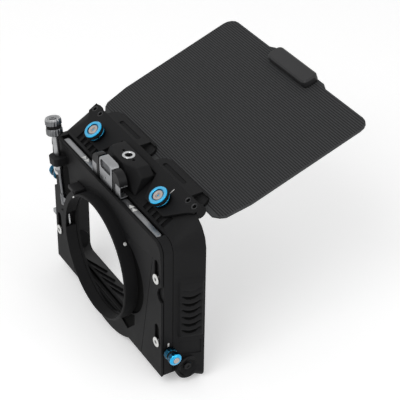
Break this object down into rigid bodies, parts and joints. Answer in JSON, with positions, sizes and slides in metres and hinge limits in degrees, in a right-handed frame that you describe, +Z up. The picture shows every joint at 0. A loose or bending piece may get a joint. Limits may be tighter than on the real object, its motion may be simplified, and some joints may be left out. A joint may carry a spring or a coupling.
{
  "type": "clamp-on matte box",
  "caption": "Clamp-on camera matte box with a ring clamp, slide-in filter tray, flared hood, blue thumb knobs and a hinged ribbed top flag.",
  "frame": {"origin": "centre of the clamp ring's bore, at the ring's rear edge, on the lens axis", "axes": "+X to the right seen from behind the camera, +Y forwards along the lens axis out of the hood, +Z up"},
  "size_m": [0.1982, 0.1804, 0.1864],
  "materials": {
    "matte_black": "fine-grained matte black",
    "satin_black": "smooth satin black",
    "ribbed_graphite": "dark graphite with fine ribs across",
    "grey_anodised": "satin grey anodised",
    "blue_anodised": "satin bright blue anodised",
    "bright_steel": "bright turned steel",
    "black_rubber": "matt black rubber",
    "pale_plastic": "smooth off-white"
  },
  "bodies": {
    "clamp_back": {"clamp_plate": "matte_black", "back_plate": "matte_black", "guide_pin": "bright_steel"},
    "clamp_slider": {"clamp_nut": "grey_anodised", "clamp_shoe": "satin_black"},
    "clamp_screw": {"clamp_screw": "grey_anodised", "clamp_knob": "grey_anodised", "clamp_knob_ring": "black_rubber"},
    "stage": {"stage_frame": "matte_black", "stage_stud_left_upper": "pale_plastic", "stage_stud_left_lower": "pale_plastic", "stage_stud_right_upper": "pale_plastic", "stage_stud_right_lower": "pale_plastic", "side_lever_pin": "bright_steel", "hood": "matte_black", "hood_lug_screw_left": "matte_black", "hood_lug_screw_right": "matte_black", "top_block": "matte_black", "thread_insert": "bright_steel", "flag_bracket": "matte_black", "bracket_screw_left_outer": "satin_black", "bracket_screw_left_inner": "satin_black", "bracket_screw_right_outer": "satin_black", "bracket_screw_right_inner": "satin_black", "hinge_rod": "bright_steel"},
    "release_pull": {"release_knob": "blue_anodised", "release_knob_ring": "black_rubber", "release_pin": "grey_anodised"},
    "lock_pull": {"lock_knob": "blue_anodised", "lock_knob_ring": "black_rubber", "lock_pin": "grey_anodised"},
    "side_lever": {"side_lever": "grey_anodised"},
    "tray": {"tray_frame": "matte_black", "tray_bar": "grey_anodised", "tray_handle": "grey_anodised", "latch_channel_left": "grey_anodised", "latch_channel_right": "grey_anodised"},
    "latch_left": {"tray_latch_left": "satin_black"},
    "latch_right": {"tray_latch_right": "satin_black"},
    "thumb_left": {"thumb_knob_left": "blue_anodised", "thumb_knob_ring_left": "black_rubber", "thumb_screw_left": "grey_anodised"},
    "thumb_right": {"thumb_knob_right": "blue_anodised", "thumb_knob_ring_right": "black_rubber", "thumb_screw_right": "grey_anodised"},
    "flag": {"flag_arm_left": "satin_black", "flag_arm_right": "satin_black", "flag_panel": "ribbed_graphite", "flag_grip": "satin_black", "flag_grip_backing": "satin_black"}
  },
  "joints": [
    {"name": "clamp_slide", "type": "slide", "parent": "clamp_back", "child": "clamp_slider", "axis": [0.1857, 0, -0.9826], "range_m": [0, 0.0028]},
    {"name": "clamp_turn", "type": "hinge", "parent": "clamp_slider", "child": "clamp_screw", "pos_m": [-0.05513, 0.005, -0.01042], "axis": [0.1857, 0, -0.9826], "range_deg": [0, 1440]},
    {"name": "stage_lift", "type": "slide", "parent": "clamp_back", "child": "stage", "axis": [0, 0, 1], "range_m": [0, 0.01]},
    {"name": "release_pull", "type": "slide", "parent": "stage", "child": "release_pull", "axis": [1, 0, 0], "range_m": [0, 0.003], "stiffness_N_per_m": 400, "springref_m": -0.003},
    {"name": "lock_pull", "type": "slide", "parent": "stage", "child": "lock_pull", "axis": [-1, 0, 0], "range_m": [0, 0.003], "stiffness_N_per_m": 400, "springref_m": -0.003},
    {"name": "side_lever_swing", "type": "hinge", "parent": "stage", "child": "side_lever", "pos_m": [-0.081, 0.01505, -0.0218], "axis": [0, -1, 0], "range_deg": [0, 25], "stiffness_Nm_per_rad": 0.02, "springref_deg": -17.19},
    {"name": "tray_lift", "type": "slide", "parent": "stage", "child": "tray", "axis": [0, 0, 1], "range_m": [0, 0.1]},
    {"name": "latch_left_squeeze", "type": "hinge", "parent": "tray", "child": "latch_left", "pos_m": [-0.01275, 0.01505, 0.062], "axis": [0, 1, 0], "range_deg": [0, 3.5], "stiffness_Nm_per_rad": 0.3, "springref_deg": -0.57},
    {"name": "latch_right_squeeze", "type": "hinge", "parent": "tray", "child": "latch_right", "pos_m": [0.01275, 0.01505, 0.062], "axis": [0, -1, 0], "range_deg": [0, 3.5], "stiffness_Nm_per_rad": 0.3, "springref_deg": -0.57},
    {"name": "thumb_left_turn", "type": "hinge", "parent": "stage", "child": "thumb_left", "pos_m": [-0.0497, 0.03219, 0.06914], "axis": [0, -0.5446, 0.8387], "range_deg": [0, 720]},
    {"name": "thumb_right_turn", "type": "hinge", "parent": "stage", "child": "thumb_right", "pos_m": [0.0497, 0.03219, 0.06914], "axis": [0, -0.5446, 0.8387], "range_deg": [0, 720]},
    {"name": "flag_tilt", "type": "hinge", "parent": "stage", "child": "flag", "pos_m": [0, 0.04409, 0.07376], "axis": [1, 0, 0], "range_deg": [-65, 50]}
  ],
  "couplings": [
    {"joint": "clamp_turn", "follows": "clamp_slide", "rad_per_m": 8975.9}
  ]
}
